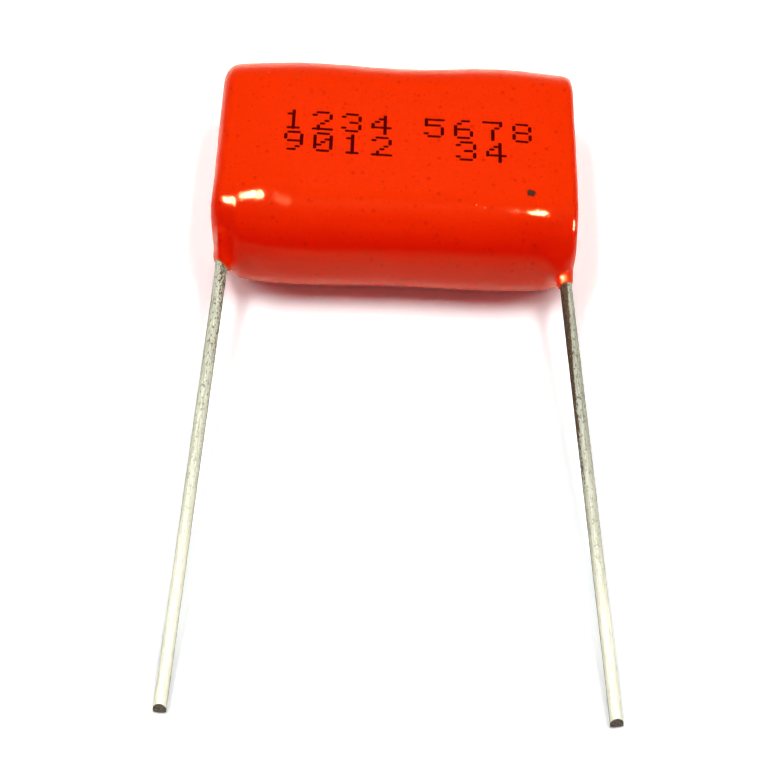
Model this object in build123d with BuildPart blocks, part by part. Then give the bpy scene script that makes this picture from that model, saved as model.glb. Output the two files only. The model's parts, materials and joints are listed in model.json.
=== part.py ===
import os
from math import atan2, cos, exp, radians, sin

from build123d import *

# Film capacitor lying on its back, in millimetres.
# X runs along the lead pitch, the leads point to -Y, and +Z is up.
# The origin is under the middle of the body, on the flat back that it rests on.

# Body of the coat
body_height = 16.2
body_thickness = 8.3
nose_flat = 0.4
top_crown = 0.18
back_cut = 0.02
coat_wall = 0.75
nose_wall = 1.05

# Lead wires
lead_pitch = 22.5
wire_diameter = 0.8
lead_setback = 0.3
lead_reach = 29.55
bend_standoff = 1.3
bend_radius = 4.0
cut_angle = 30.0
cut_blunt = 0.14

# Winding and its contacts
wrap_thickness = 0.15
spray_thickness = 0.5
spray_edge = 0.2
weld_sink = 0.12
weld_run = 10.5
slit_width = 5.5
slit_gap = 0.3

# The two sides by their direction along X: how far each tip drifts outward, and the slant in
# degrees and the reach of the coat's lip on each wire
sides = {"left": -1, "right": 1}
tip_drift = {"left": 1.52, "right": 2.38}
lip_slant = {"left": 38.0, "right": 20.0}
lip_reach = {"left": 0.35, "right": 0.55}

# The dip leaves two shoulders along the coat. Each is a place and a width as shares of half the
# length, then how far it stands out, and the sink is how far the coat lies back beyond them.
back_shoulders = [(-0.54, 0.4, 0.3), (0.56, 0.33, 0.31)]
back_sink = 0.07
front_shoulders = [(-0.52, 0.6, 0.6), (0.56, 0.55, 0.585)]
front_sink = 0.48
body_sections = 15

# At its ends the foot of the lead face draws back, its brow by a share of that, the top falls
# away, and the edges are rounded
front_tuck = {"left": 1.8, "right": 0.6}
tuck_power = 11
brow_share = 0.3
end_fall = 0.26
fall_power = 6
end_wall = {"left": 0.28, "right": 0.18}
end_round = {"left": 1.1, "right": 0.6}

# The coat's run-down on a wire: distance behind the lip, wall on the wire's outer side as a
# share of the end wall, flare towards the body's middle, and share of the lip's slant
collar_stations = [
    (2.15, 0.55, 0.5, 0.0),
    (0.85, 0.7, 0.42, 0.2),
    (0.5, 0.65, 0.16, 0.5),
    (0.23, 0.5, 0.04, 0.85),
    (0.0, 0.3, 0.0, 1.0),
]

# Sizes that follow
wire_radius = wire_diameter / 2
wire_x = lead_pitch / 2
mid_height = body_thickness / 2
lead_face_y = -body_height / 2 + lead_setback
wrap_height = body_height - 2 * nose_wall
wrap_depth = body_thickness - 2 * coat_wall
winding_height = wrap_height - 2 * wrap_thickness
winding_depth = wrap_depth - 2 * wrap_thickness
spray_face_x = wire_x - wire_radius + weld_sink
winding_half = spray_face_x - spray_thickness
tip_y = lead_face_y - lead_reach
bend_y = lead_face_y - bend_standoff
weld_end_y = lead_face_y + coat_wall + weld_run

os.makedirs("parts", exist_ok=True)


def swell(place, shoulders):
    """How far the shoulders make the coat stand out at a place along its length."""
    return sum(height * exp(-(((place - centre) / width) ** 2)) for centre, width, height in shoulders)


# Film winding: a roll pressed flat, with the slit that the mandrel left
with BuildPart() as film_winding:
    with BuildSketch(Plane.YZ):
        with Locations((0, mid_height)):
            SlotOverall(winding_height, winding_depth)
            SlotOverall(slit_width, slit_gap, mode=Mode.SUBTRACT)
    extrude(amount=winding_half, both=True)
film_winding.part.label = "film_winding"

# Outer wrap: turns of plain film round the winding, as one sleeve
with BuildPart() as outer_wrap:
    with BuildSketch(Plane.YZ):
        with Locations((0, mid_height)):
            SlotOverall(wrap_height, wrap_depth)
            SlotOverall(winding_height, winding_depth, mode=Mode.SUBTRACT)
    extrude(amount=winding_half, both=True)
outer_wrap.part.label = "outer_wrap"

# Lead wires: along the end contact inside, bent a little in front of the coat, then straight
# down to the surface, where the cutters left a slanted face with a blunt lower edge
lead_wires = {}
for name, side in sides.items():
    slope = atan2(mid_height - wire_radius, lead_reach - bend_standoff)
    with BuildPart() as lead_wire:
        with BuildLine() as route:
            FilletPolyline(
                (side * wire_x, weld_end_y, mid_height),
                (side * wire_x, bend_y, mid_height),
                (side * (wire_x + tip_drift[name]), tip_y, wire_radius * cos(slope)),
                radius=bend_radius,
            )
        with BuildSketch(Plane(origin=route.line @ 0, z_dir=route.line % 0)):
            Circle(wire_radius)
        sweep()
        axis = route.line % 1
        tip = route.line @ 1
        lowest = tip - Vector(0, sin(slope), cos(slope)) * wire_radius
        facet = axis.rotate(Axis.X, -cut_angle)
        split(bisect_by=Plane(origin=lowest, z_dir=facet), keep=Keep.BOTTOM)
        split(bisect_by=Plane(origin=lowest - axis * cut_blunt, z_dir=axis), keep=Keep.BOTTOM)
    lead_wire.part.label = "lead_wire_" + name
    lead_wires[name] = lead_wire

# End sprays: sprayed metal over both ends of the roll, each with the groove of its weld
end_sprays = {}
for name, side in sides.items():
    with BuildPart() as end_spray:
        with BuildSketch(Plane.YZ.offset(side * winding_half)):
            with Locations((0, mid_height)):
                SlotOverall(wrap_height, wrap_depth)
        extrude(amount=side * spray_thickness)
        outer_face = end_spray.faces().sort_by(Axis.X)[-1 if side > 0 else 0]
        chamfer(outer_face.edges(), spray_edge)
        add(lead_wires[name].part, mode=Mode.SUBTRACT)
    end_spray.part.label = "end_spray_" + name
    end_sprays[name] = end_spray

# Epoxy coat: a dipped shell that fills the space round everything inside, swollen at its
# shoulders, rounded at its ends and drawn out along each wire
with BuildPart() as epoxy_coat:
    for number in range(body_sections):
        place = 2 * number / (body_sections - 1) - 1
        end = "left" if place < 0 else "right"
        back_swell = swell(place, back_shoulders) - back_sink
        front_swell = swell(place, front_shoulders) - front_sink
        front = -body_height / 2 - front_swell
        tuck = front_tuck[end] * abs(place) ** tuck_power
        foot = front + tuck
        brow = front + brow_share * tuck
        back = body_height / 2 + back_swell
        top = body_thickness - top_crown + (front_swell + back_swell) / 4
        top -= end_fall * abs(place) ** fall_power
        nose_radius = (top - nose_flat) / 2
        body_half = wire_x + wire_radius + end_wall[end]
        with BuildSketch(Plane.YZ.offset(place * body_half)) as outline:
            with BuildLine():
                base = Line((foot, -back_cut), (back, -back_cut))
                rear = Line(base @ 1, (back, top))
                crest = ((brow + back) / 2, top + top_crown)
                crown = ThreePointArc(rear @ 1, crest, (brow, top))
                Line(crown @ 1, base @ 0)
            make_face()
            fillet(outline.vertices(), nose_radius)
    loft(ruled=True)
    for name, side in sides.items():
        end_face = epoxy_coat.faces().filter_by(Axis.X).sort_by(Axis.X)[-1 if side > 0 else 0]
        fillet(end_face.edges(), end_round[name])
    split(bisect_by=Plane.XY, keep=Keep.TOP)
    for name, side in sides.items():
        lip_y = lead_face_y - lip_reach[name]
        for behind, wall_share, flare, slant_share in collar_stations:
            slant = radians(slant_share * lip_slant[name])
            reach = wire_radius + wall_share * end_wall[name] + flare
            ring = Plane(
                origin=(side * (wire_x - flare), lip_y + behind, mid_height),
                x_dir=(cos(slant), side * sin(slant), 0),
                z_dir=(side * sin(slant), -cos(slant), 0),
            )
            with BuildSketch(ring):
                Ellipse(reach / cos(slant), reach - flare / 2)
        loft()
    with BuildSketch(Plane.YZ):
        with Locations((0, mid_height)):
            SlotOverall(wrap_height, wrap_depth)
    extrude(amount=winding_half, both=True, mode=Mode.SUBTRACT)
    for name in sides:
        add(end_sprays[name].part, mode=Mode.SUBTRACT)
        add(lead_wires[name].part, mode=Mode.SUBTRACT)
epoxy_coat.part.label = "epoxy_coat"

export_step(epoxy_coat.part, "parts/epoxy_coat.step")
export_step(film_winding.part, "parts/film_winding.step")
export_step(outer_wrap.part, "parts/outer_wrap.step")
for name in sides:
    export_step(end_sprays[name].part, "parts/end_spray_" + name + ".step")
    export_step(lead_wires[name].part, "parts/lead_wire_" + name + ".step")
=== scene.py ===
import json
from math import cos, pi, radians, sin, sqrt, tan

import bmesh
import bpy
import numpy as np
from mathutils import Matrix, Vector, noise
from mathutils.bvhtree import BVHTree


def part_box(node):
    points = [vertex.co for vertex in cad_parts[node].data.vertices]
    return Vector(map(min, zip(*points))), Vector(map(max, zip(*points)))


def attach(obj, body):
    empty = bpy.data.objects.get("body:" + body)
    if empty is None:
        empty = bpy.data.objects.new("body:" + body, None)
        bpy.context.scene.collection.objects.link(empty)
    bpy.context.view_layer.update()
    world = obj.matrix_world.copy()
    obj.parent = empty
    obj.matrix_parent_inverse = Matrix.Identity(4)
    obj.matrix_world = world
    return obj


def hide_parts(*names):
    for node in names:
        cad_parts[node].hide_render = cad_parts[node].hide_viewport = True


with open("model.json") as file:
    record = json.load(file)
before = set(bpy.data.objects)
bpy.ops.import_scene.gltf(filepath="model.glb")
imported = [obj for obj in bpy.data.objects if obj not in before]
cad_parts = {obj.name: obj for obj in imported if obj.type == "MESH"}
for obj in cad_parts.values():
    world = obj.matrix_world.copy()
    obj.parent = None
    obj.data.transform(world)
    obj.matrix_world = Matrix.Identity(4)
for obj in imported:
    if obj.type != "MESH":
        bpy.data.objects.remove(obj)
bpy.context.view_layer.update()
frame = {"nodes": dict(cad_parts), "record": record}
scene = bpy.context.scene
MM = 0.001

# Camera: the photograph's angle, from a fit of the outline
IMAGE_SIZE = 768
FOCAL_PIXELS = 1648.3
SENSOR_WIDTH = 36.0
ELEVATION = radians(57.416)
YAW = radians(0.914)
ROLL = radians(2.721)
TARGET = (-0.411, -16.757, 4.0)
DISTANCE = 103.053


def box_of(name):
    """The low and high corners of a CAD node's box in millimetres."""
    return [np.array(corner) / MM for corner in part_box(name)]


# Lead wires and the body's places in millimetres, from the record and the CAD boxes
mounts = {mount["name"]: mount for mount in frame["record"]["mounts"]}
wire_radius = mounts["left_lead"]["dims"]["r_mm"]
wire_high = box_of("lead_wire_left")[1]
mid_height = wire_high[2] - wire_radius
wire_x = wire_radius - wire_high[0]
wrap_low, wrap_high = box_of("outer_wrap")
spray_high = box_of("end_spray_right")[1]
coat_low, coat_high = box_of("epoxy_coat")
body_top = coat_high[2]


# Node and mesh helpers

def material(name):
    """A new material with an empty node tree, and its output node."""
    made = bpy.data.materials.new(name)
    made.use_nodes = True
    made.node_tree.nodes.clear()
    out = made.node_tree.nodes.new("ShaderNodeOutputMaterial")
    return made, made.node_tree, out


def node(tree, kind, settings=None, **inputs):
    """A shader node with its settings, and its inputs set or linked by name, or by number as i0, i1."""
    made = tree.nodes.new("ShaderNode" + kind)
    for key, value in (settings or {}).items():
        setattr(made, key, value)
    for key, value in inputs.items():
        by_number = key[0] == "i" and key[1:].isdigit()
        socket = made.inputs[int(key[1:]) if by_number else key.replace("_", " ")]
        if isinstance(value, bpy.types.NodeSocket):
            tree.links.new(value, socket)
        elif isinstance(value, (tuple, list)) and len(value) == 3 and socket.type == "RGBA":
            socket.default_value = (*value, 1.0)
        else:
            socket.default_value = value
    return made


def ramp(tree, factor, stops, interpolation="LINEAR"):
    """A colour ramp of (place, value) stops, where a value is a grey or a colour."""
    made = tree.nodes.new("ShaderNodeValToRGB")
    made.color_ramp.interpolation = interpolation
    elements = made.color_ramp.elements
    while len(elements) < len(stops):
        elements.new(0.5)
    for element, (place, value) in zip(elements, stops):
        element.position = place
        element.color = (*value, 1.0) if isinstance(value, tuple) else (value, value, value, 1.0)
    tree.links.new(factor, made.inputs["Fac"])
    return made.outputs["Color"]


def calc(tree, operation, first, second=0.0, clamp=False):
    """A math node's result."""
    made = node(tree, "Math", {"operation": operation, "use_clamp": clamp}, i0=first, i1=second)
    return made.outputs[0]


def blend(tree, factor, first, second, mode="MIX"):
    """Two colours mixed by a factor."""
    made = node(tree, "Mix", {"data_type": "RGBA", "blend_type": mode}, i0=factor, i6=first, i7=second)
    return made.outputs[2]


def from_arrays(name, points, faces, attributes=None, smooth=True):
    """A mesh object from points in millimetres, with number attributes on its points."""
    mesh = bpy.data.meshes.new(name)
    mesh.from_pydata((np.asarray(points) * MM).tolist(), [], [list(map(int, face)) for face in faces])
    mesh.validate()
    mesh.polygons.foreach_set("use_smooth", [smooth] * len(mesh.polygons))
    for key, values in (attributes or {}).items():
        layer = mesh.attributes.new(key, "FLOAT", "POINT")
        layer.data.foreach_set("value", np.asarray(values, np.float32))
    made = bpy.data.objects.new(name, mesh)
    scene.collection.objects.link(made)
    return made


def smoothstep(low, high, values):
    """A smooth step from 0 at low to 1 at high."""
    share = np.clip((np.asarray(values, float) - low) / (high - low), 0, 1)
    return share * share * (3 - 2 * share)


def arrays_of(obj):
    """Points in millimetres and polygons of a mesh object."""
    mesh = obj.data
    points = np.empty(len(mesh.vertices) * 3)
    mesh.vertices.foreach_get("co", points)
    return points.reshape(-1, 3) / MM, [tuple(polygon.vertices) for polygon in mesh.polygons]


def normals_of(points, faces):
    """Smooth point normals of a mesh of quads and triangles."""
    result = np.zeros_like(points)
    for size in (3, 4):
        group = np.array([face for face in faces if len(face) == size], int)
        if not len(group):
            continue
        first = points[group[:, size // 2]] - points[group[:, 0]]
        second = points[group[:, size - 1]] - points[group[:, size // 2 - 1]]
        cross = np.cross(first, second)
        for corner in range(size):
            np.add.at(result, group[:, corner], cross)
    return result / (np.linalg.norm(result, axis=1)[:, None] + 1e-12)


def waves(points, scale, seed, depth=2):
    """Smooth noise between about -1 and 1 at each point, with features of a scale in millimetres."""
    shift = Vector((seed * 17.3, seed * 5.1, seed * 9.7))
    return np.array([noise.fractal(Vector(point / scale) + shift, 1.0, 2.0, depth) for point in points])


# Coat skin: the CAD coat's outside on an even net, its creases eased and its surface a little
# wavy, as a dipped coat dries. All lengths are in millimetres.

SKIN_NET = 0.135
CREASE_PASSES = 120
LIP_PASSES = 10
WETTING_PASSES = 700
WETTING_REACH = 2.6
WETTING_CORE = 0.7
PASSES_PER_NORMAL = 20
WAVE_HEIGHT = 0.014
RIPPLE_HEIGHT = 0.003
CAVITY_MARGIN = 0.08
WAVE_SIZE = 2.2
RIPPLE_SIZE = 0.55
# Small swellings of the top, steeper on their outer side: a place, a width and a height
SWELLINGS = [
    (-9.0, -4.35, 0.78, 0.16), (-11.6, -5.5, 0.8, 0.13),
    (9.5, -6.1, 0.78, 0.16), (8.69, -4.52, 0.13, 0.03),
]
INNER_STRETCH = 2.4
SWELLING_DEPTH = 1.5
# The front stands out a little more at a height, over a width, and once more over the right wire
FRONT_RISE, FRONT_HEIGHT, FRONT_WIDTH, FRONT_END, FRONT_FADE = 0.12, 2.4, 1.6, 11.2, 1.6
RIGHT_RISE, RIGHT_PLACE, RIGHT_WIDTH = 0.34, (10.9, 5.0), 1.15
# How far the coat creeps along each wire beyond the CAD lip: on top, on the outer and the inner side
CREEP = {"left": (0.0, -0.3, -0.05), "right": (0.5, 0.45, 0.5)}
# The epoxy that hangs from the left wire: its lip and slant, its depth and its radius at the back
HANG_LIP, HANG_SLANT = -8.15, radians(38)
HANG_DEPTH, HANG_RADIUS = 1.3, 2.1
HANG_AROUND = 48
# Zones round each wire, by the distance from its axis and the distance behind the lip: an effect
# fades out between two distances, or stops at one. Creases stay, the lip creeps, the skin keeps
# still and the coat is thin.
CREASE_ZONE = (0.6, 1.1), (0.7, 1.3)
CREEP_ZONE = (0.5, 0.75), (0.3, 0.9)
STILL_ZONE = (0.6, 1.6), 1.6
THIN_ZONE = (wire_radius + 0.02, wire_radius + 0.16), 1.0
# How strongly the thin edge of the coat shows on each wire
THINNESS = {"left": 1.0, "right": 0.3}
# The height up to which the flat back keeps still, and where behind the lip the front stops rising
BACK_EDGE = 0.25
FRONT_ZONE = 0.6, 3.5


def outside_of_coat():
    """The coat's outer shell as a closed bmesh in millimetres, without its cavity."""
    shell = bmesh.new()
    shell.from_mesh(frame["nodes"]["epoxy_coat"].data)
    bmesh.ops.scale(shell, vec=(1 / MM,) * 3, verts=shell.verts)
    bmesh.ops.remove_doubles(shell, verts=shell.verts, dist=0.0005)
    reach = spray_high[0] + CAVITY_MARGIN

    def inside(place):
        in_body = (
            abs(place.x) < reach
            and wrap_low[1] - CAVITY_MARGIN < place.y < wrap_high[1] + CAVITY_MARGIN
            and wrap_low[2] - CAVITY_MARGIN < place.z < wrap_high[2] + CAVITY_MARGIN
        )
        from_axis = sqrt((abs(place.x) - wire_x) ** 2 + (place.z - mid_height) ** 2)
        return in_body or from_axis < wire_radius + 0.012

    hidden = [face for face in shell.faces if all(inside(vert.co) for vert in face.verts)]
    bmesh.ops.delete(shell, geom=hidden, context="FACES")
    open_edges = [edge for edge in shell.edges if edge.is_boundary]
    bmesh.ops.holes_fill(shell, edges=open_edges, sides=0)
    hang(shell)
    bmesh.ops.triangulate(shell, faces=shell.faces)
    return shell


def hang(shell):
    """Adds the cone of epoxy that runs down onto the left wire."""
    rings = []
    for radius, behind, slant, outer in (
        (wire_radius + 0.06, 0.0, HANG_SLANT, 0.06),
        (HANG_RADIUS, HANG_DEPTH, 0.0, -0.15),
        (HANG_RADIUS, HANG_DEPTH + 0.6, 0.0, -0.3),
    ):
        ring = []
        for step in range(HANG_AROUND):
            angle = 2 * pi * step / HANG_AROUND
            across = max(radius * cos(angle), -wire_radius - outer)
            y = HANG_LIP + behind - tan(slant) * across
            ring.append(shell.verts.new((across - wire_x, y, mid_height + radius * sin(angle))))
        rings.append(ring)
    for outer, inner in zip(rings, rings[1:]):
        for step in range(HANG_AROUND):
            following = (step + 1) % HANG_AROUND
            shell.faces.new((outer[step], outer[following], inner[following], inner[step]))
    shell.faces.new(rings[0][::-1])
    shell.faces.new(rings[-1])


def relax(points, pairs, passes, ease=0.5, restore=-0.52):
    """Smooths points along their net without shrinking it."""
    count = np.bincount(pairs[:, 0], minlength=len(points))[:, None].astype(float)
    for step in range(passes):
        factor = ease if step % 2 == 0 else restore
        near = points[pairs[:, 1]]
        sums = [np.bincount(pairs[:, 0], near[:, k], len(points)) for k in range(3)]
        mean = np.stack(sums, axis=1) / count
        points = points + factor * (mean - points)
    return points


def wetted(points, faces, pairs):
    """Fills the hollows round the leads, as the wet coat draws itself up each wire."""
    place = np.stack([np.abs(points[:, 0]), points[:, 1], points[:, 2]], axis=1)
    apart = np.linalg.norm(place - (wire_x, coat_low[1] + 0.5, mid_height), axis=1)
    share = 1 - smoothstep(WETTING_CORE * WETTING_REACH, WETTING_REACH, apart)
    near = share > 0
    wanted = near[pairs[:, 0]]
    first, second = pairs[wanted, 0], pairs[wanted, 1]
    local = [face for face in faces if near[face[0]]]
    count = np.maximum(np.bincount(first, minlength=len(points)), 1)
    points = points.copy()
    for step in range(WETTING_PASSES):
        if step % PASSES_PER_NORMAL == 0:
            normals = normals_of(points, local)
        mean = np.stack([np.bincount(first, points[second, k], len(points)) for k in range(3)], axis=1)
        rise = ((mean / count[:, None] - points) * normals).sum(axis=1)
        points += normals * (np.clip(rise, 0, None) * share)[:, None]
    return points


def even_net(shell):
    """The points, faces and neighbour pairs of an even net laid on a closed bmesh."""
    rough = bpy.data.meshes.new("coat_shell")
    shell.to_mesh(rough)
    tree = BVHTree.FromBMesh(shell)
    shell.free()
    holder = bpy.data.objects.new("coat_shell", rough)
    scene.collection.objects.link(holder)
    remesh = holder.modifiers.new("net", "REMESH")
    remesh.mode = "VOXEL"
    remesh.voxel_size = SKIN_NET
    net = bpy.data.meshes.new_from_object(holder.evaluated_get(bpy.context.evaluated_depsgraph_get()))
    bpy.data.objects.remove(holder)
    points = np.empty(len(net.vertices) * 3)
    net.vertices.foreach_get("co", points)
    faces = [tuple(polygon.vertices) for polygon in net.polygons]
    edges = np.empty(len(net.edges) * 2, int)
    net.edges.foreach_get("vertices", edges)
    edges = edges.reshape(-1, 2)
    pairs = np.concatenate([edges, edges[:, ::-1]])
    points = np.array([tree.find_nearest(Vector(point))[0] for point in points.reshape(-1, 3)])
    return points, faces, pairs


def near_wire(points, across, behind):
    """1 on a wire at the lip, and 0 beyond a distance from its axis and one behind the lip."""
    away = np.hypot(np.abs(points[:, 0]) - wire_x, points[:, 2] - mid_height)
    back = points[:, 1] - coat_low[1]
    along = 1 - smoothstep(*behind, back) if isinstance(behind, tuple) else back < behind
    return (1 - smoothstep(*across, away)) * along


def lip_creep(points):
    """How far the lip creeps along its wire at each point."""
    high = np.clip((points[:, 2] - mid_height) / wire_radius, 0, 1)
    outer = smoothstep(-wire_radius, wire_radius, np.abs(points[:, 0]) - wire_x)
    creep = {}
    for name, (on_top, outside, inside) in CREEP.items():
        at_side = inside + (outside - inside) * outer
        creep[name] = at_side + (on_top - at_side) * high
    return np.where(points[:, 0] < 0, creep["left"], creep["right"])


def front_rise(points):
    """How far the front stands out beyond the CAD coat at each point."""
    side, _, up = points.T
    rise = FRONT_RISE * np.exp(-(((up - FRONT_HEIGHT) / FRONT_WIDTH) ** 2))
    rise = rise * (1 - smoothstep(FRONT_END - FRONT_FADE, FRONT_END, np.abs(side)))
    over_wire = ((side - RIGHT_PLACE[0]) ** 2 + (up - RIGHT_PLACE[1]) ** 2) / RIGHT_WIDTH**2
    return rise + RIGHT_RISE * np.exp(-over_wire)


def surface_height(points):
    """The waves and the swellings of the coat's surface at each point."""
    height = WAVE_HEIGHT * waves(points, WAVE_SIZE, 1) + RIPPLE_HEIGHT * waves(points, RIPPLE_SIZE, 2)
    on_top = smoothstep(mid_height, body_top - SWELLING_DEPTH, points[:, 2])
    for x, y, width, swelling in SWELLINGS:
        outward = (points[:, 0] - x) * np.sign(x)
        outward = np.where(outward < 0, outward / INNER_STRETCH, outward)
        apart = (outward**2 + (points[:, 1] - y) ** 2) / (2 * width**2)
        height = height + swelling * np.exp(-apart) * on_top
    return height


def coat_skin():
    """The dipped coat as one fine skin."""
    points, faces, pairs = even_net(outside_of_coat())
    kept = near_wire(points, *CREASE_ZONE)[:, None]
    eased = relax(points, pairs, CREASE_PASSES)
    points = eased + kept * (relax(points, pairs, LIP_PASSES) - eased)
    points = wetted(points, faces, pairs)
    normals = normals_of(points, faces)
    still = near_wire(points, *STILL_ZONE)
    at_lip = near_wire(points, *CREEP_ZONE)
    at_edge = near_wire(points, *THIN_ZONE)
    points[:, 1] -= at_lip * lip_creep(points)
    thin = at_edge * np.where(points[:, 0] < 0, THINNESS["left"], THINNESS["right"])
    free = (1 - still) * smoothstep(0.0, BACK_EDGE, points[:, 2])
    height = surface_height(points)
    from_lip = points[:, 1] - coat_low[1]
    forward = (1 - smoothstep(*FRONT_ZONE, from_lip)) * (1 - at_lip)
    rise = front_rise(points)
    points = points + normals * (height * free)[:, None]
    points[:, 1] -= rise * forward
    points[:, 2] = np.maximum(points[:, 2], coat_low[2])
    skin = from_arrays("coat_skin", points, faces, {"thin": thin})
    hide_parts("epoxy_coat")
    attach(skin, "root")
    return skin


# Lead skins: rings swept along each wire, with its draw lines, pits and wrinkles

AROUND = 56
RING_STEP = 0.11
# The painted dark brown reflection of the coat on each wire's inner side: how far it reaches down the
# wire and round it
REFLECTION_REACH = {"left": (7.0, 0.6), "right": (15.0, 1.25)}
# How dark the painted shade by the coat is on each wire, which also delays its painted reflection
# further out
TONES = {"left": 1.0, "right": 0.72}
BEND_RADIUS = 4.0
BEND_STEPS = 7
INSIDE_RUN = 1.2
PAST_TIP = 1.2
# The heights of the draw lines, the pits and the wrinkles, and how far from the coat they are strong
DRAWN_HEIGHT = 0.0035
PIT_DEPTH, PIT_MORE = 0.006, 0.010
WRINKLE_HEIGHT, WRINKLE_SHARE = 0.007, 0.4
NEAR_COAT = 3, 18
SEEDS = {"left": 3, "right": 4}
# How the painted reflection narrows from its start to its end, by how far a place faces the other lead,
# over a share of its length, then the softness of its edge and the power of its fading
REFLECTION_START, REFLECTION_NARROWING, NARROWING_SHARE = -0.35, 0.7, 0.6
REFLECTION_EDGE, REFLECTION_FADE = 0.5, 0.4
# Noise on the wire: how fine it is across and along it
DRAWN_FINE, PIT_FINE, WRINKLE_FINE = (8, 0.25), (5, 1.6), (3, 1.1)


def lead_centreline(name, side):
    """Points and directions along a lead's axis, from inside the coat to past its tip."""
    mount = mounts[name + "_lead"]
    middle = np.array(mount["pos_m"]) / MM
    along = np.array(mount["axis"])
    start = np.array([side * wire_x, coat_low[1] + INSIDE_RUN, mid_height])
    ahead = np.array([0.0, -1.0, 0.0])
    turn = np.arccos(along @ ahead)
    tangent = BEND_RADIUS * tan(turn / 2)
    lean = along @ ahead
    to_middle = middle - start
    reach = (to_middle @ along - (to_middle @ ahead) * lean) / (1 - lean**2)
    bend = middle - along * reach
    places = []
    before = (bend - start) @ ahead - tangent
    for run in np.arange(0, before, RING_STEP):
        places.append((start + ahead * run, ahead))
    across = along - ahead * (along @ ahead)
    across /= np.linalg.norm(across)
    corner = bend - ahead * tangent
    for angle in np.linspace(0, turn, BEND_STEPS + 1)[:-1]:
        place = corner + BEND_RADIUS * (sin(angle) * ahead + (1 - cos(angle)) * across)
        places.append((place, cos(angle) * ahead + sin(angle) * across))
    first = bend + along * tangent
    last = (middle - first) @ along + mount["dims"]["length_mm"] / 2 + PAST_TIP
    for run in np.arange(0, last, RING_STEP):
        places.append((first + along * run, along))
    return np.array([place for place, _ in places]), np.array([way for _, way in places])


def cut_planes(name):
    """The two planes that the cutters left on a lead's tip: a point and a normal of each."""
    mount = mounts[name + "_lead"]
    axis = np.array(mount["axis"])
    end = np.array(mount["pos_m"]) / MM + axis * mount["dims"]["length_mm"] / 2
    planes = {}
    for polygon in frame["nodes"]["lead_wire_" + name].data.polygons:
        normal = np.array(polygon.normal)
        centre = np.array(polygon.center) / MM
        if (centre - end) @ axis < -0.1 or normal @ axis < 0.6:
            continue
        kind = "blunt" if normal @ axis > 0.97 else "slanted"
        if polygon.area > planes.get(kind, (0,))[0]:
            planes[kind] = (polygon.area, centre, normal)
    return [(centre, normal) for _, centre, normal in planes.values()]


def lead_surface(name, across, towards, runs):
    """The height and the painted reflection of the coat on a lead's surface, by how far each place
    faces the other lead.
    """

    def noise_of(fine, added):
        return waves(np.column_stack([across * fine[0], runs * fine[1]]), 1.0, SEEDS[name] + added)

    drawn = noise_of(DRAWN_FINE, 0)
    pitted = noise_of(PIT_FINE, 2)
    wrinkle = noise_of(WRINKLE_FINE, 4)
    near_coat = 1 - smoothstep(*NEAR_COAT, runs)
    length, width = REFLECTION_REACH[name]
    from_coat = runs - INSIDE_RUN
    narrowing = np.clip(from_coat / (NARROWING_SHARE * length), 0, 1)
    inward = smoothstep(0, REFLECTION_EDGE, towards - (REFLECTION_START + REFLECTION_NARROWING * narrowing))
    fade = np.clip(1 - from_coat / length, 0, 1)
    painted_reflection = inward * width * fade**REFLECTION_FADE * (fade > 0)
    height = DRAWN_HEIGHT * drawn - (PIT_DEPTH + PIT_MORE * near_coat) * smoothstep(0.35, 0.9, pitted)
    height = height + WRINKLE_HEIGHT * near_coat * (WRINKLE_SHARE + inward) * wrinkle
    return height * smoothstep(0, 1.0, runs), painted_reflection


def cut_tip(mesh, name):
    """Cuts a lead's end along its two planes, and closes each with a flat face of cut metal."""
    trim = bmesh.new()
    trim.from_mesh(mesh)
    for centre, normal in cut_planes(name):
        cut = bmesh.ops.bisect_plane(
            trim, geom=trim.verts[:] + trim.edges[:] + trim.faces[:],
            plane_co=Vector(centre * MM), plane_no=Vector(normal), clear_outer=True,
        )
        rim = [item for item in cut["geom_cut"] if isinstance(item, bmesh.types.BMEdge)]
        cap = bmesh.ops.edgeloop_fill(trim, edges=rim)
        for face in cap["faces"]:
            face.material_index = 1
            face.smooth = False
    trim.to_mesh(mesh)
    trim.free()


def lead_skin(name, side):
    """One lead wire as a drawn, tinned rod with a cut tip."""
    centres, ways = lead_centreline(name, side)
    run = np.concatenate([[0], np.cumsum(np.linalg.norm(np.diff(centres, axis=0), axis=1))])
    flat = np.cross(ways, (0.0, 0.0, 1.0))  # points to -X
    flat /= np.linalg.norm(flat, axis=1)[:, None]
    upward = np.cross(flat, ways)
    angles = np.arange(AROUND) * 2 * pi / AROUND
    spokes = flat[:, None] * np.cos(angles)[None, :, None]
    spokes = spokes + upward[:, None] * np.sin(angles)[None, :, None]
    runs = np.repeat(run, AROUND)
    turns = np.tile(angles, len(run))
    across = np.column_stack([np.cos(turns), np.sin(turns)]) * wire_radius
    # the painted reflection of the coat rides along as a point attribute
    height, painted_reflection = lead_surface(name, across, side * np.cos(turns), runs)
    out = spokes.reshape(-1, 3) * (wire_radius + height)[:, None]
    points = np.repeat(centres, AROUND, axis=0) + out
    faces = []
    for ring in range(len(run) - 1):
        for step in range(AROUND):
            first = ring * AROUND + step
            second = ring * AROUND + (step + 1) % AROUND
            faces.append((first, second, second + AROUND, first + AROUND))
    faces.append(tuple(range(AROUND))[::-1])
    tone = np.full(len(points), TONES[name])
    made = from_arrays(
        "lead_skin_" + name, points, faces,
        {"run": runs, "across": across[:, 0], "rise": across[:, 1], "painted_reflection": painted_reflection, "tone": tone},
    )
    cut_tip(made.data, name)
    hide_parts("lead_wire_" + name)
    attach(made, "root")
    return made


# Generic digits printed in dots, five across and seven down, on the coat's top

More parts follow.
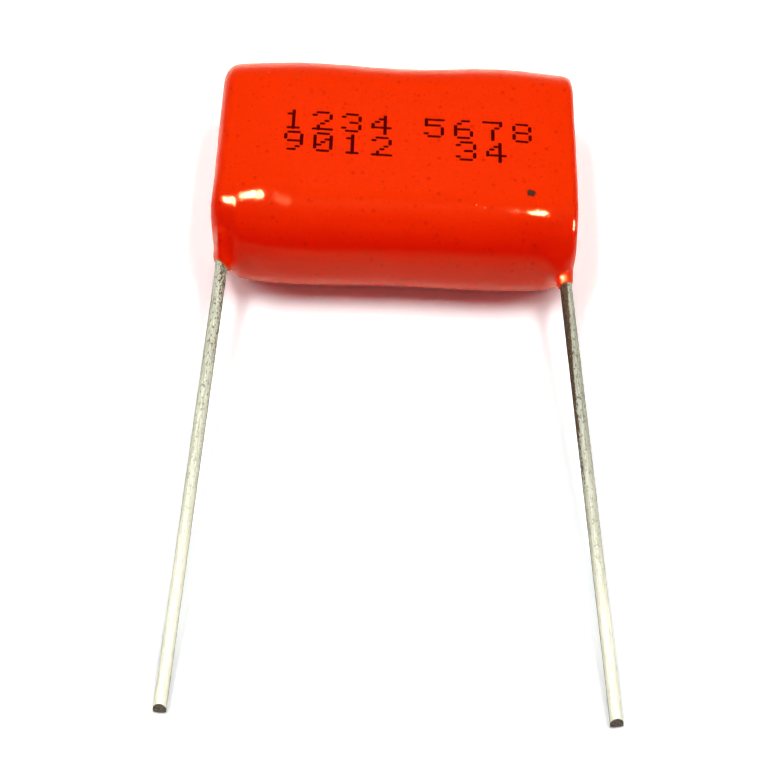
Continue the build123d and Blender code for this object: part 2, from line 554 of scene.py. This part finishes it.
DIGITS = {
    "0": ".###. #...# #..## #.#.# ##..# #...# .###.",
    "1": "..#.. .##.. ..#.. ..#.. ..#.. ..#.. .###.",
    "2": ".###. #...# ....# ...#. ..#.. .#... #####",
    "3": ".###. #...# ....# ..##. ....# #...# .###.",
    "4": "...#. ..##. .#.#. #..#. ##### ...#. ...#.",
    "5": "##### #.... ####. ....# ....# #...# .###.",
    "6": "..##. .#... #.... ####. #...# #...# .###.",
    "7": "##### ....# ...#. ..#.. ..#.. ..#.. ..#..",
    "8": ".###. #...# #...# .###. #...# #...# .###.",
    "9": ".###. #...# #...# .#### ....# ...#. .##..",
}
# Each line: its left edge, the height of its first row, then its groups of digits by their start
PRINT_LINES = [
    (1.46, [(-7.45, "1234"), (1.85, "5678")]),
    (-0.38, [(-7.36, "9012"), (3.97, "34")]),
]
PRINT_SLOPE = -0.034
CHAR_PITCH = 1.93
COLUMN_PITCH = 0.265
ROW_PITCH = 0.242
BAR_WIDTH = 0.225
DOT_WIDTH = 0.36
DOT_HEIGHT = 0.19
BAR_END = 0.25
INK_THICKNESS = 0.009
INK_UNDER = 0.004
DOT_STEPS = 8
SQUARENESS = 0.6
WANDER = 0.018
UNEVENNESS = 0.12
STROKE_STEP = 0.12


def strokes():
    """The print's vertical strokes and single dots: each one's place and its upper and lower end."""
    marks = []
    for top, groups in PRINT_LINES:
        for left, text in groups:
            for number, letter in enumerate(text):
                rows = DIGITS[letter].split()
                for column in range(5):
                    x = left + number * CHAR_PITCH + column * COLUMN_PITCH
                    base = top + PRINT_SLOPE * x
                    row = 0
                    while row < 7:
                        if rows[row][column] != "#":
                            row += 1
                            continue
                        last = row
                        while last + 1 < 7 and rows[last + 1][column] == "#":
                            last += 1
                        marks.append((x, base - row * ROW_PITCH, base - last * ROW_PITCH))
                        row = last + 1
    return marks


def stroke_outline(index, high, low):
    """The outline of one stroke as distances across it and heights, a little uneven."""
    wander = Vector((index * 1.7, 3.1, 0.4))
    half = (BAR_WIDTH if high > low else DOT_WIDTH) / 2 * (1 + UNEVENNESS * noise.noise(wander * 2.3))
    tall = (BAR_END if high > low else DOT_HEIGHT) / 2 * (1 + UNEVENNESS * noise.noise(wander * 3.1))
    square = []
    for step in range(DOT_STEPS + 1):
        angle = pi * step / DOT_STEPS
        wide = abs(cos(angle)) ** SQUARENESS
        square.append((wide if step < DOT_STEPS / 2 else -wide, sin(angle) ** SQUARENESS))
    side_steps = max(1, int((high - low) / STROKE_STEP))
    outline = [(wide * half, high + up * tall) for wide, up in square]
    for step in range(1, side_steps + 1):
        outline.append((-half, high + (low - high) * step / (side_steps + 1)))
    outline += [(-wide * half, low - up * tall) for wide, up in square]
    for step in range(1, side_steps + 1):
        outline.append((half, low + (high - low) * step / (side_steps + 1)))
    return outline, WANDER * noise.noise(wander)


def printed_digits(skin):
    """All the dots of the print as one thin raised piece that follows the skin."""
    points, faces = arrays_of(skin)
    tree = BVHTree.FromPolygons([Vector(point) for point in points], faces)

    def land(x, y, lift):
        place, normal, _, _ = tree.ray_cast(Vector((x, y, body_top + 2)), Vector((0, 0, -1)))
        return place + normal * lift

    layers = [(1.0, -INK_UNDER), (0.97, 0.6 * INK_THICKNESS)]
    layers += [(share, INK_THICKNESS) for share in (0.8, 0.35)]
    ink_points, ink_faces = [], []
    for index, (x, high, low) in enumerate(strokes()):
        outline, shift = stroke_outline(index, high, low)
        count = len(outline)
        for layer, (share, lift) in enumerate(layers):
            first = len(ink_points)
            for across, y in outline:
                spine = min(max(y, low), high)
                ink_points.append(land(x + shift + across * share, spine + (y - spine) * share, lift))
            for step in range(count if layer else 0):
                following = (step + 1) % count
                below = first - count
                ink_faces.append((below + step, below + following, first + following, first + step))
        ink_faces.append(tuple(range(first, first + count)))
    made = from_arrays("printed_digits", np.array(ink_points), ink_faces)
    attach(made, "root")
    return made


# Materials

# The coat's colour by how far its surface faces up, a painted shade that turns it deeper red where it
# faces away from up, then its clouds, specks and thin edge
COAT_SHADE_COLOURS = [
    (0.0, (0.95, 0.006, 0.0003)), (0.48, (0.95, 0.0075, 0.0003)),
    (0.72, (0.95, 0.017, 0.0003)), (0.98, (0.95, 0.031, 0.0003)),
]
CLOUD_SIZE, CLOUD_COLOUR = 0.2, (0.70, 0.006, 0.0003)
# Specks: the size of their cells, their radius as a share of it, and their strength
SPECKS = ((0.7, 0.26, 0.4), (0.36, 0.28, 0.35))
SPECK_COLOUR = (0.50, 0.0025, 0.0003)
THIN_COLOUR = (0.80, 0.20, 0.012)
# Marks on the coat's top: a place, a half width, a half height and a colour
MARKS = [
    (8.69, -4.52, 0.42, 0.34, (0.06, 0.028, 0.02)),
    (-6.83, 4.80, 0.14, 0.06, (0.30, 0.13, 0.07)),
    (-8.82, 5.27, 0.05, 0.05, (0.95, 0.35, 0.12)),
]
PEEL_SIZE, PEEL_HEIGHT = 0.11, 0.0145
COAT_ROUGHNESS, COAT_IOR, COAT_SHEEN = 0.1, 1.46, (1.0, 0.42, 0.18)


def noise_node(tree, place, scale, detail):
    """A noise texture's value."""
    return node(tree, "TexNoise", Vector=place, Scale=scale, Detail=detail).outputs["Fac"]


def marked(tree, place, cloud, colour):
    """A colour with the marks of the coat's top, their edges broken by a cloud."""
    apart = node(tree, "SeparateXYZ", i0=place)
    for x, y, wide, tall, shade in MARKS:
        shares = []
        for axis, middle, half in (("X", x, wide), ("Y", y, tall)):
            share = calc(tree, "SUBTRACT", apart.outputs[axis], middle * MM)
            share = calc(tree, "MULTIPLY", share, 1 / (half * MM))
            shares.append(calc(tree, "POWER", share, 2.0))
        from_middle = calc(tree, "ADD", *shares)
        from_middle = calc(tree, "ADD", from_middle, ramp(tree, cloud, [(0.3, 0.0), (0.7, 0.6)]))
        on_top = calc(tree, "GREATER_THAN", apart.outputs["Z"], mid_height * MM)
        inside = calc(tree, "MULTIPLY", ramp(tree, from_middle, [(0.7, 0.98), (1.0, 0.0)]), on_top)
        colour = blend(tree, inside, colour, shade)
    return colour


def coat_material():
    """Glossy dipped epoxy with painted shade by how far it faces up, clouds, specks, marks and a fine
    peel.
    """
    made, tree, out = material("dipped_epoxy")
    place = node(tree, "TexCoord").outputs["Object"]
    normal = node(tree, "NewGeometry").outputs["Normal"]
    up = node(tree, "SeparateXYZ", i0=normal).outputs["Z"]
    cloud = noise_node(tree, place, 1 / (CLOUD_SIZE * MM), 2.0)
    clouded = ramp(tree, cloud, [(0.35, 0.10), (0.65, 0.0)])
    # painted shade: the base colour turns deeper red where the coat faces away from up
    colour = blend(tree, clouded, ramp(tree, up, COAT_SHADE_COLOURS), CLOUD_COLOUR)
    for size, radius, most in SPECKS:
        cells = node(tree, "TexVoronoi", Vector=place, Scale=1 / (size * MM), Randomness=1.0)
        speck = ramp(tree, cells.outputs["Distance"], [(0.5 * radius, 1.0), (radius, 0.0)])
        chosen = node(tree, "SeparateColor", Color=cells.outputs["Color"]).outputs["Red"]
        strength = calc(tree, "MULTIPLY", speck, ramp(tree, chosen, [(0.3, 0.0), (1.0, most)]))
        colour = blend(tree, strength, colour, SPECK_COLOUR)
    colour = marked(tree, place, cloud, colour)
    thin = node(tree, "Attribute", {"attribute_name": "thin"}).outputs["Fac"]
    colour = blend(tree, calc(tree, "MULTIPLY", thin, 0.8), colour, THIN_COLOUR)
    peel = noise_node(tree, place, 1 / (PEEL_SIZE * MM), 1.0)
    rising = ramp(tree, up, [(0.0, 0.0), (0.3, 0.9)])
    bump = node(tree, "Bump", Height=peel, Distance=PEEL_HEIGHT * MM, Strength=rising)
    shader = node(
        tree, "BsdfPrincipled", Base_Color=colour, Normal=bump.outputs[0],
        Roughness=COAT_ROUGHNESS, IOR=COAT_IOR, Specular_Tint=COAT_SHEEN,
    )
    tree.links.new(shader.outputs[0], out.inputs["Surface"])
    return made


# The tin's colours: painted shade by the coat and a lighter painted reflection further out, in streaks,
# then its pits and a painted dark reflection of the coat
TIN_NEAR_SHADE = [(0.32, (0.34, 0.34, 0.25)), (0.62, (0.66, 0.67, 0.52))]
TIN_FAR_GLEAM = [(0.30, (0.72, 0.71, 0.52)), (0.60, (0.93, 0.915, 0.75))]
# Where the painted reflection takes over from the painted shade: a ramp by the run, the run it spans,
# and how much later it starts on a darker wire
TIN_FAR, FAR_RUN, FAR_DELAY = [(0.2, 0.0), (0.45, 0.35), (0.75, 1.0)], 30, 0.35
# Painted shade on the wire's sides and underside, by how high a place is on the wire
TIN_SIDE_SHADE = [(0.0, 0.42), (0.42, 1.0)]
TIN_GRIT = [(0.35, (0.80, 0.80, 0.70)), (0.5, 1.0)]
TIN_PIT = (0.14, 0.12, 0.08)
# Painted reflection of the coat on the inner side: its dark brown colours by the pits, and how much it
# is broken
TIN_BODY_REFLECTION = [(0.35, (0.035, 0.016, 0.008)), (0.65, (0.12, 0.065, 0.035))]
STREAK_FINE, SPECKLE_FINE = (14.0, 0.9), (9.0, 5.0)
REFLECTION_BREAK = 1.8
TIN_ROUGHNESS, TIN_METALLIC, TIN_GLOSS = 0.6, 0.05, 0.2


def tin_material():
    """Drawn tin with painted shade by the coat, a painted reflection further out, painted shade on its
    sides, pits and a painted brown reflection of the coat, by the attributes of the lead's skin.
    """
    made, tree, out = material("tinned_wire")
    run, across, rise, painted_reflection, tone = (
        node(tree, "Attribute", {"attribute_name": name}).outputs["Fac"]
        for name in ("run", "across", "rise", "painted_reflection", "tone")
    )

    def stretched(fine):
        wide, deep = (calc(tree, "MULTIPLY", value, fine[0]) for value in (across, rise))
        along = calc(tree, "MULTIPLY", run, fine[1])
        return node(tree, "CombineXYZ", X=wide, Y=deep, Z=along).outputs[0]

    def inverse(value):
        return calc(tree, "SUBTRACT", 1.0, value)

    def broken(value, by):
        wander = calc(tree, "MULTIPLY", calc(tree, "SUBTRACT", by, 0.5), REFLECTION_BREAK)
        return calc(tree, "ADD", value, wander)

    lengthwise = stretched(STREAK_FINE)
    # painted shade by the coat, giving way to a lighter painted reflection further out
    delay = calc(tree, "MULTIPLY", inverse(tone), FAR_DELAY)
    reach = calc(tree, "SUBTRACT", calc(tree, "MULTIPLY", run, 1 / FAR_RUN), delay)
    far = ramp(tree, reach, TIN_FAR, "EASE")
    streaks = noise_node(tree, lengthwise, 1.0, 4.0)
    near_shade = blend(tree, 1.0, ramp(tree, streaks, TIN_NEAR_SHADE), tone, "MULTIPLY")
    colour = blend(tree, far, near_shade, ramp(tree, streaks, TIN_FAR_GLEAM))
    # painted shade: the wire darker on its sides and underside
    side_shade = ramp(tree, calc(tree, "MULTIPLY", rise, 1 / wire_radius), TIN_SIDE_SHADE)
    colour = blend(tree, 1.0, colour, side_shade, "MULTIPLY")
    grit = noise_node(tree, lengthwise, 2.5, 3.0)
    colour = blend(tree, 1.0, colour, ramp(tree, grit, TIN_GRIT), "MULTIPLY")
    pits = noise_node(tree, stretched(SPECKLE_FINE), 1.0, 2.0)
    pitted = calc(tree, "MULTIPLY", ramp(tree, pits, [(0.57, 0.0), (0.65, 0.85)]), inverse(far))
    colour = blend(tree, pitted, colour, TIN_PIT)
    # painted reflection: the coat's dark brown mirrored on the wire's inner side, broken by streaks and
    # pits
    ragged = ramp(tree, broken(broken(painted_reflection, streaks), pits), [(0.35, 0.0), (0.7, 0.94)])
    reflecting = calc(tree, "MULTIPLY", ragged, ramp(tree, painted_reflection, [(0.0, 0.0), (0.2, 1.0)]))
    colour = blend(tree, reflecting, colour, ramp(tree, pits, TIN_BODY_REFLECTION))
    shader = node(
        tree, "BsdfPrincipled", Base_Color=colour, Metallic=TIN_METALLIC, Roughness=TIN_ROUGHNESS,
        Specular_IOR_Level=calc(tree, "MULTIPLY", inverse(reflecting), TIN_GLOSS),
    )
    tree.links.new(shader.outputs[0], out.inputs["Surface"])
    return made


def plain_material(name, colour, roughness, metallic=0.0, grain=0.0, scale=0.3, gloss=0.5):
    """A material whose colour is broken a little by noise."""
    made, tree, out = material(name)
    place = node(tree, "TexCoord").outputs["Object"]
    cloud = noise_node(tree, place, 1 / (scale * MM), 3.0)
    darker = tuple(channel * (1 - grain) for channel in colour)
    mixed = ramp(tree, cloud, [(0.3, darker), (0.7, colour)])
    shader = node(
        tree, "BsdfPrincipled", Base_Color=mixed, Roughness=roughness, Metallic=metallic,
        Specular_IOR_Level=gloss,
    )
    tree.links.new(shader.outputs[0], out.inputs["Surface"])
    return made


def give(obj, *materials):
    """Puts materials into an object's slots."""
    for item in materials:
        obj.data.materials.append(item)


# Build the pieces

skin = coat_skin()
give(skin, coat_material())
tin = tin_material()
cut_metal = plain_material("cut_metal", (0.22, 0.17, 0.13), 0.5, 0.05, 0.75, 0.15, 0.2)
for name, side in (("left", -1), ("right", 1)):
    give(lead_skin(name, side), tin, cut_metal)
ink = plain_material("ink", (0.075, 0.0008, 0.0005), 0.7, gloss=0.0)
give(printed_digits(skin), ink)

# The CAD nodes keep their meshes, and get plain looks
winding_look = plain_material("metallised_film", (0.55, 0.56, 0.58), 0.25, 0.8, 0.3, 0.2)
wrap_look = plain_material("plain_film", (0.85, 0.85, 0.80), 0.2, 0.0, 0.1)
spray_look = plain_material("sprayed_metal", (0.50, 0.51, 0.52), 0.7, 0.9, 0.4, 0.15)
for node_name, look in (
    ("film_winding", winding_look), ("outer_wrap", wrap_look),
    ("end_spray_left", spray_look), ("end_spray_right", spray_look),
    ("epoxy_coat", plain_material("epoxy_solid", (0.93, 0.036, 0.002), 0.16)),
    ("lead_wire_left", plain_material("tin_solid", (0.8, 0.82, 0.68), 0.4, 1.0)),
    ("lead_wire_right", plain_material("tin_solid", (0.8, 0.82, 0.68), 0.4, 1.0)),
):
    cad = frame["nodes"][node_name]
    for index in range(max(1, len(cad.data.materials))):
        if index < len(cad.data.materials):
            cad.data.materials[index] = look
        else:
            cad.data.materials.append(look)


# Floor: white where it is seen or reflected, and plain for the light it gives back

FLOOR_HALF = 400.0
FLOOR_DROP = 0.002
FLOOR_DARK = 0.1
FLOOR_SEEN = (1.31, 1.35, 1.35)
FLOOR_GLOSS = (1.15, 1.08, 0.85)
FLOOR_BOUNCE = 0.75
FLOOR_GLOW = 0.06
GLOSS_FRONT = -55.0


def floor():
    """The pale floor under the part."""
    half = FLOOR_HALF
    corners = [(-half, -half, 0), (half, -half, 0), (half, half, 0), (-half, half, 0)]
    made = from_arrays("floor", corners, [(0, 1, 2, 3)], smooth=False)
    look, tree, out = material("floor_white")
    path = node(tree, "LightPath")
    ahead = node(tree, "SeparateXYZ", i0=node(tree, "TexCoord").outputs["Object"]).outputs["Y"]
    near = calc(tree, "GREATER_THAN", ahead, GLOSS_FRONT * MM)
    reflected = node(tree, "BsdfDiffuse", Color=FLOOR_GLOSS)
    dark = node(tree, "BsdfDiffuse", Color=(FLOOR_DARK,) * 3)
    glow = node(tree, "Emission", Color=FLOOR_GLOSS, Strength=FLOOR_GLOW)
    lit = node(tree, "AddShader", i0=reflected.outputs[0], i1=glow.outputs[0])
    glossy = node(tree, "MixShader", i0=near, i1=dark.outputs[0], i2=lit.outputs[0])
    bounce = node(tree, "BsdfDiffuse", Color=(FLOOR_BOUNCE,) * 3)
    is_glossy = path.outputs["Is Glossy Ray"]
    other = node(tree, "MixShader", i0=is_glossy, i1=bounce.outputs[0], i2=glossy.outputs[0])
    seen = calc(tree, "MAXIMUM", path.outputs["Is Camera Ray"], path.outputs["Is Transmission Ray"])
    white = node(tree, "BsdfDiffuse", Color=FLOOR_SEEN)
    mixed = node(tree, "MixShader", i0=seen, i1=other.outputs[0], i2=white.outputs[0])
    tree.links.new(mixed.outputs[0], out.inputs["Surface"])
    give(made, look)
    made.location.z = -FLOOR_DROP * MM


floor()


# Light: two long lamps almost overhead and soft ones at the back and sides light the part, small
# ones make its highlights, and the room is pale

AMBIENT = 0.10
GLOSS_ROOM = 0.05
GLOSS_BACK = 0.35
GLOSS_COLOUR = (1, 0.85, 0.5)
AIM = (0, 0, 4)
LAMP_DISTANCE = 400
# Each lamp: its name, its lean along X and Y, its size, its level, and the rays that it lights
LAMPS = [
    ("key_left", (-17, -4), (42, 240), 0.31, "diffuse"),
    ("key_right", (17, -4), (42, 240), 0.31, "diffuse"),
    ("soft_back", (0, 35), (180, 120), 0.10, "diffuse"),
    ("soft_left", (-50, 0), (200, 200), 0.25, "diffuse"),
    ("soft_right", (50, 0), (200, 200), 0.25, "diffuse"),
    ("spark_left", (-17, -5), (20, 32), 2.2, "glossy"),
    ("spark_right", (17, -5), (20, 32), 2.2, "glossy"),
    ("glint_left", (-41.5, -17), (30, 60), 2.4, "glossy"),
    ("glint_right", (67, -33), (60, 40), 2.2, "glossy"),
]


def room():
    """The world: white where it is seen, a pale band behind in reflections, and a little fill."""
    world = bpy.data.worlds.new("room")
    scene.world = world
    world.use_nodes = True
    tree = world.node_tree
    tree.nodes.clear()
    out = tree.nodes.new("ShaderNodeOutputWorld")
    path = node(tree, "LightPath")
    white = node(tree, "Background", Color=(1, 1, 1), Strength=1.0)
    towards = node(tree, "SeparateXYZ", i0=node(tree, "TexCoord").outputs["Generated"])
    low = ramp(tree, towards.outputs["Z"], [(0.05, 1.0), (0.5, 0.0)], "EASE")
    behind = ramp(tree, towards.outputs["Y"], [(0.1, 0.0), (0.5, 1.0)])
    band = calc(tree, "MULTIPLY", low, behind)
    pale = calc(tree, "ADD", calc(tree, "MULTIPLY", band, GLOSS_BACK), GLOSS_ROOM)
    gloss = node(tree, "Background", Color=GLOSS_COLOUR, Strength=pale)
    fill = node(tree, "Background", Color=(1, 1, 1), Strength=AMBIENT)
    is_glossy = path.outputs["Is Glossy Ray"]
    first = node(tree, "MixShader", i0=is_glossy, i1=fill.outputs[0], i2=gloss.outputs[0])
    seen = calc(tree, "MAXIMUM", path.outputs["Is Camera Ray"], path.outputs["Is Transmission Ray"])
    both = node(tree, "MixShader", i0=seen, i1=first.outputs[0], i2=white.outputs[0])
    tree.links.new(both.outputs[0], out.inputs["Surface"])


def lamp(name, lean, size, level, lights):
    """An oval lamp that leans off the vertical by degrees, for the diffuse or the glossy rays."""
    data = bpy.data.lights.new(name, "AREA")
    data.shape = "ELLIPSE"
    data.size, data.size_y = size[0] * MM, size[1] * MM
    data.energy = level * pi * pi * (LAMP_DISTANCE * MM) ** 2
    away = Vector((tan(radians(lean[0])), tan(radians(lean[1])), 1)).normalized()
    ahead = Vector((0, 1, 0)).cross(away).normalized()
    made = bpy.data.objects.new(name, data)
    turned = Matrix((ahead, away.cross(ahead), away)).transposed().to_4x4()
    place = (Vector(AIM) + away * LAMP_DISTANCE) * MM
    made.matrix_world = Matrix.Translation(place) @ turned
    made.visible_glossy = lights == "glossy"
    made.visible_diffuse = lights == "diffuse"
    scene.collection.objects.link(made)


room()
for settings in LAMPS:
    lamp(*settings)


# Camera

def camera():
    """The photograph's camera."""
    ahead = Vector((sin(YAW) * cos(ELEVATION), cos(YAW) * cos(ELEVATION), -sin(ELEVATION)))
    level = Vector((cos(YAW), -sin(YAW), 0))
    above = level.cross(ahead)
    right = level * cos(ROLL) + above * sin(ROLL)
    above = above * cos(ROLL) - level * sin(ROLL)
    data = bpy.data.cameras.new("camera")
    data.sensor_width = SENSOR_WIDTH
    data.lens = FOCAL_PIXELS * SENSOR_WIDTH / IMAGE_SIZE
    data.clip_start = 1 * MM
    data.clip_end = 5.0
    made = bpy.data.objects.new("camera", data)
    place = (Vector(TARGET) - ahead * DISTANCE) * MM
    turned = Matrix((right, above, -ahead)).transposed().to_4x4()
    made.matrix_world = Matrix.Translation(place) @ turned
    scene.collection.objects.link(made)
    scene.camera = made


camera()
scene.view_settings.view_transform = "Standard"
